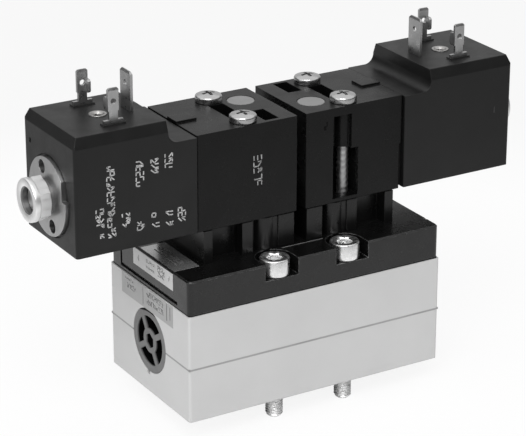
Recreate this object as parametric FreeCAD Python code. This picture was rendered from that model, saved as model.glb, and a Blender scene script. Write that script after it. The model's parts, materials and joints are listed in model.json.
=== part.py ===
import FreeCAD, Part
import math
import os
from FreeCAD import Vector

# Directional control valve: split aluminium body, black cover and adapter, two solenoid pilots.
# Millimetres. X runs along the body, Y across it, Z up. The origin is the middle of the body's underside.
# The right pilot is the left one turned by half a turn about Z.

# Main body castings and gaskets
body_width = 46.0
lower_height = 15.6
upper_height = 15.6
gasket_thickness = 0.4
gasket_inset = 0.4
casting_round = 0.8
cover_height = 9.8
cover_inset = 0.3
cover_round = 1.4
cover_edge_chamfer = 0.4

# Recessed line in the cover's end walls
end_groove_lift = 0.7
end_groove_width = 1.1
end_groove_depth = 0.9
end_groove_near = 16.1
end_groove_far = 17.2

# Mounting screws, which pass through the whole body
screw_spacing_x = 23.0
screw_wall_margin = 4.5
screw_radius = 2.5
screw_shank_radius = 2.2
screw_hole_clearance = 0.3
screw_head_radius = 4.25
screw_head_height = 5.0
screw_hex = 4.0
screw_hex_depth = 2.6
screw_projection = 6.7
screw_tip_chamfer = 0.8
head_chamfer = 0.35
notch_width = 10.7
notch_depth = 4.9

# Screws that hold cover and castings together, from below
body_screw_end_margin = 7.2
body_screw_wall_margin = 6.0
body_screw_radius = 2.0
body_screw_head_radius = 3.5
body_screw_head_height = 3.0
body_screw_hex = 3.0
body_screw_recess = 3.6
body_screw_grip = 6.0

# Spool bore, ported sleeve and spool
bore_radius = 9.5
part_clearance = 0.05
port_pitch = 10.0
port_width = 5.6
port_length = 14.0
port_corner = 1.6
sleeve_bore_radius = 5.0
sleeve_window_width = 2.5
sleeve_window_height = 6.0
sleeve_groove_width = 5.0
sleeve_groove_depth = 1.6
seal_width = 1.6
seal_depth = 1.2
sleeve_end_wall = 0.5
spool_stem_radius = 3.0
land_width = 2.0
land_lap = 1.25
spool_stroke = 5.0
piston_thickness = 2.8
piston_seal_width = 1.2
piston_seal_depth = 1.6
piston_gap = 0.25
piston_end_gap = 0.3

# Face seal round the ports
port_seal_depth = 1.0
port_seal_proud = 0.2
port_seal_margin = 2.4

# Spoked vent caps at the ends of the spool bore, with a small notch in the bore's edge below each
vent_clearance = 0.1
vent_thickness = 3.0
vent_recess = 0.1
vent_rim = 2.1
vent_hub_radius = 3.7
vent_hole_flats = 4.0
vent_spoke_width = 1.7
vent_spoke_overlap = 0.6
vent_spoke_angle = 58.0
bore_notch_width = 1.6
bore_notch_depth = 1.0
bore_notch_length = 1.5
bore_notch_y = 0.8

# Adapter between cover and pilots
adapter_height = 9.6
adapter_inset = 2.1
rib_inset = 0.4
rib_depth = 4.1
end_rib_width = 2.8
screw_rib_width = 3.4
screw_rib_offset = 0.9
screw_boss_wall = 0.85
boss_radius = 3.5
boss_overlap = 0.35
middle_rib_gap = 4.2
middle_rib_width = 5.1
middle_slot_depth = 9.0
adapter_screw_x = 23.5
adapter_screw_y = 5.5
adapter_screw_radius = 1.5
adapter_screw_head_radius = 2.75
adapter_screw_head_height = 3.0
adapter_screw_hex = 2.5
adapter_screw_grip = 6.0
adapter_seal_x = 5.0
adapter_seal_radius = 3.0

# Pilot blocks
pilot_gap = 2.9
pilot_length = 31.65
pilot_width = 27.8
pilot_height = 28.0
pilot_gasket = 0.4
pilot_round = 0.3
pilot_outer_round = 0.6
outer_relief_width = 0.6
outer_relief_depth = 1.1
outer_relief_height = 13.5
pilot_screw_inset = 16.9
pilot_screw_wall_margin = 4.4
pilot_screw_radius = 2.0
pilot_screw_clearance = 0.15
pilot_screw_head_radius = 3.85
pilot_screw_head_height = 2.5
pilot_screw_head_round = 1.4
pilot_screw_cross = 0.9
pilot_screw_cross_reach = 2.2
pilot_screw_cross_depth = 1.3
pilot_screw_grip = 7.0
top_slot_width = 4.6
top_slot_depth = 5.0
pocket_from_screws = 5.2
pocket_width = 4.4
pocket_near = 4.0
pocket_far = 12.6
pocket_depth = 3.2
top_tab_length = 6.3
top_tab_width = 5.2
top_tab_height = 0.6
top_tab_round = 0.15

# Side window that shows one pilot screw
window_outer = 2.5
window_inner = 5.9
window_floor = 1.0
window_top = 15.3
window_depth = 8.6
channel_top = 25.5
channel_outer = -0.2
channel_depth = 4.2
column_radius = 2.9

# Manual override
override_inset = 6.75
override_y = 5.4
override_radius = 3.9
override_clearance = 0.08
override_height = 5.0
override_stem_radius = 1.4
override_stem_length = 3.4
override_spring_radius = 2.6
override_wire_radius = 0.35
override_spring_turns = 3.0
override_chamber_depth = 5.4
override_bevel = 0.25

# Armature, its tube and its seat
armature_height = 13.6
tube_radius = 4.6
tube_wall = 0.5
tube_flange_radius = 8.0
tube_flange_thickness = 2.4
core_length = 19.0
stud_radius = 3.05
stud_length = 5.2
plunger_clearance = 0.08
plunger_travel = 1.2
plunger_nose_radius = 2.4
plunger_nose_length = 4.5
plunger_seal_radius = 1.5
plunger_seal_length = 1.6
plunger_spring_radius = 3.2
plunger_wire_radius = 0.3
plunger_spring_turns = 3.0
nozzle_gap = 0.05
nozzle_tip_radius = 1.2
nozzle_tip_length = 1.4
nozzle_body_radius = 2.6
nozzle_body_length = 5.0
nozzle_bore_radius = 0.6
chamber_radius = 5.2
chamber_depth = 3.6

# Coil body
coil_seal_thickness = 0.4
coil_seal_inset = 0.8
coil_length = 36.7
coil_width = 30.0
coil_lift = 0.4
coil_height = 33.6
coil_shelf_height = 27.4
coil_shelf_length = 5.8
coil_fillet = 3.0
coil_band_height = 3.0
coil_band_inset = 1.2
coil_round = 0.8
coil_inner_round = 0.4
coil_end_recess_gap = 0.5
coil_end_recess_depth = 0.5
tube_hole_clearance = 0.1

# Connector face on the coil
connector_inset = 22.0
blade_spacing = 18.0
pad_half_x = 3.3
pad_half_y = 1.1
pad_height = 0.4
blade_width = 3.2
blade_stem_width = 2.6
blade_thickness = 0.8
blade_height = 10.1
blade_foot_width = 5.8
blade_foot_height = 0.9
blade_wing_width = 2.2
blade_wing_height = 3.7
blade_wing_lift = 3.7
blade_wing_corner = 0.5
blade_hole_radius = 0.8
blade_hole_drop = 3.7
blade_root = 4.0
blade_corner = 0.4
blade_bevel_height = 0.7
blade_tip_thickness = 0.3
earth_offset = 8.8
earth_width = 5.8
earth_height = 11.1
earth_hole_drop = 3.6
earth_corner = 0.7
insert_radius = 2.45
insert_bore_radius = 1.25
insert_length = 7.0
insert_proud = 0.2
insert_bore_depth = 6.0
insert_countersink = 0.6

# Plate and nut on the coil's outer end
plate_thickness = 1.0
plate_radius = 11.0
plate_step_y = 8.7
plate_step_z = 1.2
plate_hole_radius = 1.9
plate_hole_circle = 8.2
plate_hole_angle = 109.0
nut_flange_radius = 7.8
nut_flange_thickness = 0.9
nut_flats = 13.0
nut_hex_length = 3.0
nut_nose_radius = 6.7
nut_nose_length = 2.3
nut_nose_round = 0.9
nut_thread_clearance = 0.05

# Slack with which edges are picked by their place
pick_slack = 0.01

# Levels and places that follow from the sizes above
joint_z = lower_height + gasket_thickness / 2
upper_bottom = lower_height + gasket_thickness
upper_top = upper_bottom + upper_height
cover_bottom = upper_top + gasket_thickness
cover_top = cover_bottom + cover_height
notch_floor = cover_top - notch_depth
adapter_top = cover_top + adapter_height
pilot_bottom = adapter_top + pilot_gasket
pilot_top = pilot_bottom + pilot_height
pilot_inner_x = -pilot_gap / 2
pilot_outer_x = pilot_inner_x - pilot_length
pilot_screw_x = pilot_outer_x + pilot_screw_inset
pilot_screw_spacing = pilot_width - 2 * pilot_screw_wall_margin
armature_z = pilot_bottom + armature_height
coil_inner_x = pilot_outer_x - coil_seal_thickness
coil_outer_x = coil_inner_x - coil_length
coil_bottom = pilot_bottom + coil_lift
coil_top = coil_bottom + coil_height
connector_x = coil_inner_x - connector_inset
override_x = pilot_inner_x - override_inset
adapter_half_length = -pilot_outer_x - adapter_inset
adapter_rib_reach = pilot_width / 2 - rib_inset
adapter_core_half_width = adapter_rib_reach - rib_depth
port_places = [step * port_pitch for step in (-2, -1, 0, 1, 2)]
screw_spacing_y = body_width - 2 * screw_wall_margin
land_outer = 2 * port_pitch + sleeve_window_width / 2 + land_lap + land_width / 2 + spool_stroke / 2
sleeve_half_length = land_outer + spool_stroke / 2 + land_width / 2 + sleeve_end_wall
spool_reach = sleeve_half_length + spool_stroke / 2
piston_travel_end = spool_reach + spool_stroke / 2 + piston_thickness
body_length = 2 * (piston_travel_end + piston_end_gap + vent_thickness + vent_recess)
body_screw_x = body_length / 2 - body_screw_end_margin
body_screw_y = body_width / 2 - body_screw_wall_margin
corners = [(1, 1), (1, -1), (-1, 1), (-1, -1)]


def block(x0, x1, y0, y1, z0, z1):
    return Part.makeBox(x1 - x0, y1 - y0, z1 - z0, Vector(x0, y0, z0))


def upright_block(x0, x1, y0, y1, z0, z1, radius):
    """A block with its four upright edges rounded."""
    body = block(x0, x1, y0, y1, z0, z1)
    upright = [edge for edge in body.Edges if abs(edge.tangentAt(edge.FirstParameter).z) > 0.99]
    return body.makeFillet(radius, upright)


def rod_x(x0, x1, y, z, radius):
    return Part.makeCylinder(radius, x1 - x0, Vector(x0, y, z), Vector(1, 0, 0))


def rod_z(x, y, z0, z1, radius):
    return Part.makeCylinder(radius, z1 - z0, Vector(x, y, z0), Vector(0, 0, 1))


def ring_x(x0, x1, z, outer, inner):
    return rod_x(x0, x1, 0, z, outer).cut(rod_x(x0, x1, 0, z, inner))


def hexagon(flats, length, base, direction, turn=0.0):
    """A hexagonal prism of the given width across flats."""
    corner = flats / math.sqrt(3)
    points = []
    for index in range(6):
        angle = math.radians(60 * index + turn)
        points.append(Vector(corner * math.cos(angle), corner * math.sin(angle), 0))
    prism = Part.Face(Part.makePolygon(points + points[:1])).extrude(Vector(0, 0, length))
    prism.Placement = FreeCAD.Placement(base, FreeCAD.Rotation(Vector(0, 0, 1), direction))
    return prism


def outline_solid(points, normal):
    """A prism over a closed outline of points."""
    return Part.Face(Part.makePolygon(points + points[:1])).extrude(normal)


def joined(shapes):
    first = shapes[0]
    if len(shapes) > 1:
        first = first.multiFuse(shapes[1:])
    return first.removeSplitter()


def half_turned(shape):
    """The same shape on the right-hand side."""
    turned = shape.copy()
    turned.rotate(Vector(0, 0, 0), Vector(0, 0, 1), 180)
    return turned


def write(node, shape):
    os.makedirs("parts", exist_ok=True)
    shape.exportStep("parts/" + node + ".step")


def cap_head(x, y, seat_z, radius, height, hex_flats, hex_depth):
    """The head of a socket cap screw, seated at seat_z."""
    head = rod_z(x, y, seat_z, seat_z + height, radius)
    rim = [edge for edge in head.Edges if edge.BoundBox.ZMin > seat_z + height / 2]
    head = head.makeChamfer(head_chamfer, rim)
    socket = hexagon(hex_flats, hex_depth, Vector(x, y, seat_z + height - hex_depth), Vector(0, 0, 1))
    return head.cut(socket)


def pointed_rod(x, y, z0, z1, radius, tip):
    """An upright rod with a bevelled lower end."""
    point = Part.makeCone(radius - tip, radius, tip, Vector(x, y, z0), Vector(0, 0, 1))
    return point.fuse(rod_z(x, y, z0 + tip, z1, radius))


def socket_screw(x, y, seat_z, length, radius, head_radius, head_height, hex_flats, hex_depth, tip):
    """A socket cap screw, head up, its head seated at seat_z."""
    head = cap_head(x, y, seat_z, head_radius, head_height, hex_flats, hex_depth)
    return joined([head, pointed_rod(x, y, seat_z - length, seat_z, radius, tip)])


def pan_screw(x, y, seat_z, length):
    """A pan-head screw with a cross recess, head up."""
    height = pilot_screw_head_height
    head = rod_z(x, y, seat_z, seat_z + height, pilot_screw_head_radius)
    rim = [edge for edge in head.Edges if edge.BoundBox.ZMin > seat_z + height / 2]
    head = head.makeFillet(pilot_screw_head_round, rim)
    reach = pilot_screw_cross_reach
    half = pilot_screw_cross / 2
    floor = seat_z + height - pilot_screw_cross_depth
    cross = block(x - reach, x + reach, y - half, y + half, floor, seat_z + height)
    cross = cross.fuse(block(x - half, x + half, y - reach, y + reach, floor, seat_z + height))
    return joined([head.cut(cross), rod_z(x, y, seat_z - length, seat_z, pilot_screw_radius)])


def spring(axis_start, axis, length, coil_radius, wire_radius, turns):
    """A compression spring of square wire between two planes."""
    pitch = (length - 2 * wire_radius) / turns
    helix = Part.makeHelix(pitch, pitch * turns, coil_radius)
    square = [Vector(coil_radius + dx * wire_radius, 0, dz * wire_radius) for dx, dz in
              ((-1, -1), (1, -1), (1, 1), (-1, 1), (-1, -1))]
    wire = Part.Wire(helix).makePipeShell([Part.makePolygon(square)], True, True)
    wire.translate(Vector(0, 0, wire_radius))
    wire.Placement = FreeCAD.Placement(axis_start, FreeCAD.Rotation(Vector(0, 0, 1), axis)).multiply(
        wire.Placement
    )
    return wire


def mounting_screw_places():
    return [(sx * screw_spacing_x / 2, sy * screw_spacing_y / 2) for sx, sy in corners]


def body_screw_places():
    return [(sx * body_screw_x, sy * body_screw_y) for sx, sy in corners]


def screw_shafts(z0, z1):
    """Clearance holes for the mounting and body screws between two levels."""
    holes = [rod_z(x, y, z0, z1, screw_radius + screw_hole_clearance) for x, y in mounting_screw_places()]
    holes += [rod_z(x, y, z0, z1, body_screw_radius + screw_hole_clearance) for x, y in body_screw_places()]
    return holes


def make_lower_housing():
    half_x = body_length / 2
    half_y = body_width / 2
    body = upright_block(-half_x, half_x, -half_y, half_y, 0, lower_height, casting_round)
    cuts = [rod_x(-half_x, half_x, 0, joint_z, bore_radius)]
    cuts += screw_shafts(0, lower_height)
    for x in port_places:
        cuts.append(port_slot(x, 0, joint_z))
    for x, y in body_screw_places():
        cuts.append(rod_z(x, y, 0, body_screw_recess, body_screw_head_radius + screw_hole_clearance))
    cuts.append(seal_plate(0, port_seal_depth, 0))
    notch = bore_notch()
    cuts += [notch, half_turned(notch)]
    return body.cut(cuts)


def bore_notch():
    """The small notch in the bore's edge at the left end."""
    x0 = -body_length / 2
    low = joint_z - bore_radius - bore_notch_depth
    y0 = bore_notch_y - bore_notch_width / 2
    return block(x0, x0 + bore_notch_length, y0, y0 + bore_notch_width, low, joint_z - bore_radius + 1)


def port_slot(x, z0, z1):
    """One rounded port opening in the underside."""
    half = port_width / 2
    reach = port_length / 2
    return upright_block(x - half, x + half, -reach, reach, z0, z1, port_corner)


def seal_plate(z0, z1, inset):
    """The outline of the face seal's recess, or of the seal itself with a small inset."""
    half_x = port_places[-1] + port_width / 2 + port_seal_margin - inset
    half_y = port_length / 2 + port_seal_margin - inset
    return upright_block(-half_x, half_x, -half_y, half_y, z0, z1, port_seal_margin)


def make_port_gasket():
    plate = seal_plate(-port_seal_proud, port_seal_depth, part_clearance)
    return plate.cut([port_slot(x, -port_seal_proud, port_seal_depth) for x in port_places])


def make_upper_housing():
    half_x = body_length / 2
    half_y = body_width / 2
    body = upright_block(-half_x, half_x, -half_y, half_y, upper_bottom, upper_top, casting_round)
    cuts = [rod_x(-half_x, half_x, 0, joint_z, bore_radius)]
    cuts += screw_shafts(upper_bottom, upper_top)
    return body.cut(cuts)


def make_flat_gasket(z0, with_bore):
    """A flat gasket of the body's outline, set in a little from its walls."""
    half_x = body_length / 2 - gasket_inset
    half_y = body_width / 2 - gasket_inset
    sheet = upright_block(-half_x, half_x, -half_y, half_y, z0, z0 + gasket_thickness, casting_round)
    cuts = screw_shafts(z0, z0 + gasket_thickness)
    if with_bore:
        cuts.append(rod_x(-half_x, half_x, 0, joint_z, bore_radius))
    return sheet.cut(cuts)


def screw_notch(sign_x, sign_y):
    """The open notch that a mounting screw's head sits in."""
    x = sign_x * screw_spacing_x / 2
    y = sign_y * screw_spacing_y / 2
    half = notch_width / 2
    wall = sign_y * (body_width / 2 + 1)
    low_y, high_y = sorted((y, wall))
    slot = block(x - half, x + half, low_y, high_y, notch_floor, cover_top)
    return slot.fuse(rod_z(x, y, notch_floor, cover_top, half))


def end_groove():
    """The recessed line in the cover's left end: along its foot and up near the back."""
    x0 = -body_length / 2
    x1 = -body_length / 2 + cover_inset + end_groove_depth
    z0 = cover_bottom + end_groove_lift
    z1 = z0 + end_groove_width
    foot = block(x0, x1, -end_groove_near, end_groove_far, z0, z1)
    riser = block(x0, x1, end_groove_far - end_groove_width, end_groove_far, z0, cover_top)
    return foot.fuse(riser)


def make_top_cover():
    half_x = body_length / 2 - cover_inset
    half_y = body_width / 2 - cover_inset
    body = upright_block(-half_x, half_x, -half_y, half_y, cover_bottom, cover_top, cover_round)
    rim = [edge for edge in body.Edges if edge.BoundBox.ZMin > cover_top - pick_slack]
    body = body.makeChamfer(cover_edge_chamfer, rim)
    cuts = [screw_notch(sx, sy) for sx, sy in corners]
    hole = screw_radius + screw_hole_clearance
    cuts += [rod_z(x, y, cover_bottom, cover_top, hole) for x, y in mounting_screw_places()]
    for x, y in body_screw_places():
        top = cover_bottom + body_screw_grip
        cuts.append(rod_z(x, y, cover_bottom, top, body_screw_radius + part_clearance))
    for x, y in adapter_screw_places():
        low = cover_top - adapter_screw_grip
        cuts.append(rod_z(x, y, low, cover_top, adapter_screw_radius + part_clearance))
    groove = end_groove()
    cuts += [groove, half_turned(groove)]
    return body.cut(cuts)


def make_mounting_screws():
    """Captive cap screws: a reduced shank through the body and a threaded end that stands out below."""
    screws = []
    for x, y in mounting_screw_places():
        head = cap_head(x, y, notch_floor, screw_head_radius, screw_head_height, screw_hex, screw_hex_depth)
        shank = rod_z(x, y, 0, notch_floor, screw_shank_radius)
        thread = pointed_rod(x, y, -screw_projection, 0, screw_radius, screw_tip_chamfer)
        screws.append(joined([head, shank, thread]))
    return Part.makeCompound(screws)


def make_body_screws():
    screws = []
    length = cover_bottom + body_screw_grip - body_screw_recess
    for x, y in body_screw_places():
        screw = socket_screw(x, y, 0, length, body_screw_radius, body_screw_head_radius,
                             body_screw_head_height, body_screw_hex, body_screw_head_height / 2,
                             body_screw_radius / 5)
        screw.rotate(Vector(x, y, 0), Vector(1, 0, 0), 180)
        screw.translate(Vector(0, 0, body_screw_recess))
        screws.append(screw)
    return Part.makeCompound(screws)


def seal_places():
    """Middles of the sleeve's seals: between the ports and outside the last ones."""
    half_pitch = port_pitch / 2
    return [x - half_pitch for x in port_places] + [port_places[-1] + half_pitch]


def make_spool_sleeve():
    outer = bore_radius - part_clearance
    inner = sleeve_bore_radius + part_clearance
    sleeve = ring_x(-sleeve_half_length, sleeve_half_length, joint_z, outer, inner)
    cuts = []
    half_window = sleeve_window_width / 2
    half_height = sleeve_window_height / 2
    half_groove = sleeve_groove_width / 2
    for x in port_places:
        cuts.append(ring_x(x - half_groove, x + half_groove, joint_z, outer + 1, outer - sleeve_groove_depth))
        cuts.append(block(x - half_window, x + half_window, -outer, outer,
                          joint_z - half_height, joint_z + half_height))
        cuts.append(block(x - half_window, x + half_window, -half_height, half_height,
                          joint_z - outer, joint_z + outer))
    for x in seal_places():
        cuts.append(ring_x(x - seal_width / 2, x + seal_width / 2, joint_z, outer + 1, outer - seal_depth))
    return sleeve.cut(cuts)


def make_sleeve_seals():
    inner = bore_radius - part_clearance - seal_depth
    half = seal_width / 2
    rings = [ring_x(x - half, x + half, joint_z, bore_radius, inner) for x in seal_places()]
    return Part.makeCompound(rings)


def make_main_spool():
    """Spool at the left-hand end of its stroke."""
    middle = -spool_stroke / 2
    pieces = [rod_x(middle - spool_reach, middle + spool_reach, 0, joint_z, spool_stem_radius)]
    half = land_width / 2
    for place in (-land_outer, -port_pitch, port_pitch, land_outer):
        x = middle + place
        pieces.append(rod_x(x - half, x + half, 0, joint_z, sleeve_bore_radius))
    return joined(pieces)


def piston_span(side):
    """Near and far faces of a piston on the spool's end, at the left-hand end of the stroke."""
    end = -spool_stroke / 2 + side * spool_reach
    return sorted((end, end + side * piston_thickness))


def piston_seal_span(side):
    low, high = piston_span(side)
    middle = (low + high) / 2
    return middle - piston_seal_width / 2, middle + piston_seal_width / 2


def make_piston(side):
    low, high = piston_span(side)
    seal_low, seal_high = piston_seal_span(side)
    radius = bore_radius - piston_gap
    disc = rod_x(low, high, 0, joint_z, radius)
    return disc.cut(ring_x(seal_low, seal_high, joint_z, radius + 1, radius - piston_seal_depth))


def make_piston_seal(side):
    low, high = piston_seal_span(side)
    radius = bore_radius - piston_gap
    return ring_x(low, high, joint_z, bore_radius - part_clearance, radius - piston_seal_depth)


def make_vent_cap():
    """Left vent cap: a rim, four spokes and a hub with a hexagonal hole."""
    x0 = -body_length / 2 + vent_recess
    x1 = x0 + vent_thickness
    radius = bore_radius - vent_clearance
    rim = ring_x(x0, x1, joint_z, radius, radius - vent_rim)
    hub = rod_x(x0, x1, 0, joint_z, vent_hub_radius)
    pieces = [rim, hub]
    for turn in range(4):
        spoke = block(x0, x1, vent_hub_radius - vent_spoke_overlap, radius - vent_rim / 2,
                      joint_z - vent_spoke_width / 2, joint_z + vent_spoke_width / 2)
        spoke.rotate(Vector(0, 0, joint_z), Vector(1, 0, 0), vent_spoke_angle + 90 * turn)
        pieces.append(spoke)
    cap = joined(pieces)
    return cap.cut(hexagon(vent_hole_flats, vent_thickness, Vector(x0, 0, joint_z), Vector(1, 0, 0)))


def adapter_screw_places():
    return [(sx * adapter_screw_x, sy * adapter_screw_y) for sx, sy in corners]


def pilot_screw_places(side):
    """Both screws of a pilot block."""
    x = side * abs(pilot_screw_x)
    return [(x, y) for y in (-pilot_screw_spacing / 2, pilot_screw_spacing / 2)]


def boss_places(side):
    """One pilot's round bosses: one runs into the middle rib, the other into the screw rib."""
    by_middle_rib = middle_rib_gap / 2 + middle_rib_width + boss_radius - boss_overlap
    by_screw_rib = abs(pilot_screw_x) + screw_rib_offset - screw_rib_width / 2 - boss_radius + boss_overlap
    reach = adapter_rib_reach - boss_radius
    return [(side * by_middle_rib, side * reach), (side * by_screw_rib, -side * reach)]


def make_pilot_adapter():
    """Riser with upright ribs and bosses on its long sides, nearly parted between the pilots."""
    reach = adapter_half_length
    core_reach = reach - end_rib_width / 2
    core = block(-core_reach, core_reach, -adapter_core_half_width, adapter_core_half_width,
                 cover_top, adapter_top)
    pieces = [core]
    rib_places = [(reach - end_rib_width / 2, end_rib_width)]
    rib_places.append((abs(pilot_screw_x) + screw_rib_offset, screw_rib_width))
    rib_places.append((middle_rib_gap / 2 + middle_rib_width / 2, middle_rib_width))
    screw_boss = pilot_screw_radius + screw_boss_wall
    for side in (-1, 1):
        for place, width in rib_places:
            low = side * place - width / 2
            pieces.append(block(low, low + width, -adapter_rib_reach, adapter_rib_reach,
                                cover_top, adapter_top))
        pieces += [rod_z(x, y, cover_top, adapter_top, boss_radius) for x, y in boss_places(side)]
        pieces += [rod_z(x, y, cover_top, adapter_top, screw_boss) for x, y in pilot_screw_places(side)]
    adapter = joined(pieces)
    half_gap = middle_rib_gap / 2
    slot_y = adapter_rib_reach - middle_slot_depth
    cuts = [block(-half_gap, half_gap, slot_y, adapter_rib_reach, cover_top, adapter_top)]
    cuts.append(block(-half_gap, half_gap, -adapter_rib_reach, -slot_y, cover_top, adapter_top))
    for x, y in adapter_screw_places():
        cuts.append(rod_z(x, y, cover_top, adapter_top, adapter_screw_radius + screw_hole_clearance))
        head_floor = adapter_top - adapter_screw_head_height
        cuts.append(rod_z(x, y, head_floor, adapter_top, adapter_screw_head_radius + screw_hole_clearance))
    for side in (-1, 1):
        for x, y in pilot_screw_places(side):
            low = adapter_top - pilot_screw_grip
            cuts.append(rod_z(x, y, low, adapter_top, pilot_screw_radius + part_clearance))
        cuts.append(adapter_seal(side, 0))
    return adapter.cut(cuts)


def adapter_seal(side, clearance):
    """Ring seal in the adapter's underside, round the air passage of one pilot."""
    x = side * adapter_seal_x
    z1 = cover_top + seal_depth
    outer = rod_z(x, 0, cover_top, z1, adapter_seal_radius - clearance)
    return outer.cut(rod_z(x, 0, cover_top, z1, adapter_seal_radius - seal_width + clearance))


def make_adapter_seals():
    return Part.makeCompound([adapter_seal(side, part_clearance) for side in (-1, 1)])


def make_adapter_screws():
    seat = adapter_top - adapter_screw_head_height
    length = seat - cover_top + adapter_screw_grip
    screws = []
    for x, y in adapter_screw_places():
        screws.append(
            socket_screw(x, y, seat, length, adapter_screw_radius, adapter_screw_head_radius,
                         adapter_screw_head_height, adapter_screw_hex, adapter_screw_head_height / 2,
                         adapter_screw_radius / 5)
        )
    return Part.makeCompound(screws)


def screw_window():
    """Opening in the back of the left block: a window below, a channel beside the screw's column above."""
    x_screw = pilot_screw_x
    wall = pilot_width / 2
    y0 = wall - window_depth
    low = pilot_bottom + window_floor
    top = pilot_bottom + window_top
    window = block(x_screw - window_outer, x_screw + window_inner, y0, wall + 1, low, top)
    channel = block(x_screw + channel_outer, x_screw + window_inner, wall - channel_depth, wall + 1,
                    top, pilot_bottom + channel_top)
    column = rod_z(x_screw, pilot_screw_spacing / 2, top, pilot_bottom + channel_top, column_radius)
    return joined([window, channel.cut(column)])


def block_body():
    """The left block's outer form: outer upright edges rounder than the inner ones, and a tab on top."""
    half_y = pilot_width / 2
    body = block(pilot_outer_x, pilot_inner_x, -half_y, half_y, pilot_bottom, pilot_top)
    upright = [edge for edge in body.Edges if abs(edge.tangentAt(edge.FirstParameter).z) > 0.99]
    inner = [edge for edge in upright if edge.BoundBox.XMax > pilot_inner_x - pick_slack]
    body = body.makeFillet(pilot_round, inner)
    outer = [edge for edge in body.Edges if edge.BoundBox.XMax < pilot_outer_x + pick_slack
             and edge.BoundBox.YMax < -half_y + pick_slack and edge.BoundBox.ZLength > 1]
    body = body.makeFillet(pilot_outer_round, outer)
    half_tab = top_tab_width / 2
    tab = block(pilot_outer_x, pilot_outer_x + top_tab_length, -half_tab, half_tab,
                pilot_top - top_tab_height, pilot_top + top_tab_height)
    rim = [edge for edge in tab.Edges if edge.BoundBox.ZMin > pilot_top
           and edge.BoundBox.XMax > pilot_outer_x + pick_slack]
    body = joined([body, tab.makeFillet(top_tab_round, rim)])
    relief = block(pilot_outer_x, pilot_outer_x + outer_relief_width, half_y - outer_relief_depth, half_y,
                   pilot_bottom, pilot_bottom + outer_relief_height)
    return body.cut(relief)


def make_pilot_block():
    """The left block."""
    body = block_body()
    cuts = [screw_window()]
    hole = pilot_screw_radius + pilot_screw_clearance
    cuts += [rod_z(x, y, pilot_bottom, pilot_top, hole) for x, y in pilot_screw_places(-1)]
    slot_half = pilot_screw_spacing / 2 - pilot_screw_head_radius
    slot_x0 = pilot_screw_x - top_slot_width / 2
    cuts.append(block(slot_x0, slot_x0 + top_slot_width, -slot_half, slot_half,
                      pilot_top - top_slot_depth, pilot_top))
    pocket_x0 = pilot_screw_x + pocket_from_screws
    cuts.append(block(pocket_x0, pocket_x0 + pocket_width, -pocket_far, -pocket_near,
                      pilot_top - pocket_depth, pilot_top))
    button_floor = pilot_top - override_height
    cuts.append(rod_z(override_x, override_y, button_floor - override_chamber_depth, pilot_top,
                      override_radius + override_clearance))
    flange_x1 = pilot_outer_x + tube_flange_thickness
    chamber_x1 = flange_x1 + chamber_depth
    nozzle_x1 = chamber_x1 + nozzle_body_length
    cuts.append(rod_x(pilot_outer_x, flange_x1, 0, armature_z, tube_flange_radius + part_clearance))
    cuts.append(rod_x(flange_x1, chamber_x1, 0, armature_z, chamber_radius))
    cuts.append(rod_x(chamber_x1, nozzle_x1, 0, armature_z, nozzle_body_radius + part_clearance))
    return body.cut(cuts)


def make_pilot_gasket():
    half_y = adapter_rib_reach - gasket_inset
    x0 = -adapter_half_length + gasket_inset
    x1 = pilot_inner_x - gasket_inset
    sheet = block(x0, x1, -half_y, half_y, adapter_top, pilot_bottom)
    hole = pilot_screw_radius + pilot_screw_clearance
    cuts = [rod_z(x, y, adapter_top, pilot_bottom, hole) for x, y in pilot_screw_places(-1)]
    return sheet.cut(cuts)


def make_pilot_screws():
    length = pilot_top - adapter_top + pilot_screw_grip
    return Part.makeCompound([pan_screw(x, y, pilot_top, length) for x, y in pilot_screw_places(-1)])


def make_override_button():
    """Round button, flush with the block's top, with a stem below."""
    low = pilot_top - override_height
    head = rod_z(override_x, override_y, low, pilot_top, override_radius)
    rim = [edge for edge in head.Edges if edge.BoundBox.ZMin > pilot_top - pick_slack]
    head = head.makeFillet(override_bevel, rim)
    stem = rod_z(override_x, override_y, low - override_stem_length, low, override_stem_radius)
    return joined([head, stem])


def make_override_spring():
    floor = pilot_top - override_height - override_chamber_depth
    return spring(Vector(override_x, override_y, floor), Vector(0, 0, 1), override_chamber_depth,
                  override_spring_radius, override_wire_radius, override_spring_turns)


def nozzle_tip_x():
    return pilot_outer_x + tube_flange_thickness + chamber_depth - nozzle_tip_length


def make_nozzle():
    """Turned seat: threaded body in the block and a narrow tip towards the plunger."""
    body_x0 = nozzle_tip_x() + nozzle_tip_length
    body = rod_x(body_x0, body_x0 + nozzle_body_length, 0, armature_z, nozzle_body_radius)
    tip = rod_x(nozzle_tip_x(), body_x0, 0, armature_z, nozzle_tip_radius)
    bore = rod_x(nozzle_tip_x(), body_x0 + nozzle_body_length, 0, armature_z, nozzle_bore_radius)
    return joined([body, tip]).cut(bore)


def core_face_x():
    """Inner face of the fixed core, which the plunger is drawn to."""
    return coil_outer_x + core_length


def make_armature_tube():
    """Guide tube with a flange in the block, a solid core and a threaded end for the nut."""
    flange_x0 = pilot_outer_x
    flange_x1 = pilot_outer_x + tube_flange_thickness
    pieces = [rod_x(flange_x0, flange_x1, 0, armature_z, tube_flange_radius)]
    pieces.append(rod_x(coil_outer_x, flange_x1, 0, armature_z, tube_radius))
    pieces.append(rod_x(coil_outer_x - stud_length, coil_outer_x, 0, armature_z, stud_radius))
    bore = rod_x(core_face_x(), flange_x1, 0, armature_z, tube_radius - tube_wall)
    return joined(pieces).cut(bore)


def plunger_front_x():
    return nozzle_tip_x() - nozzle_gap


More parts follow.
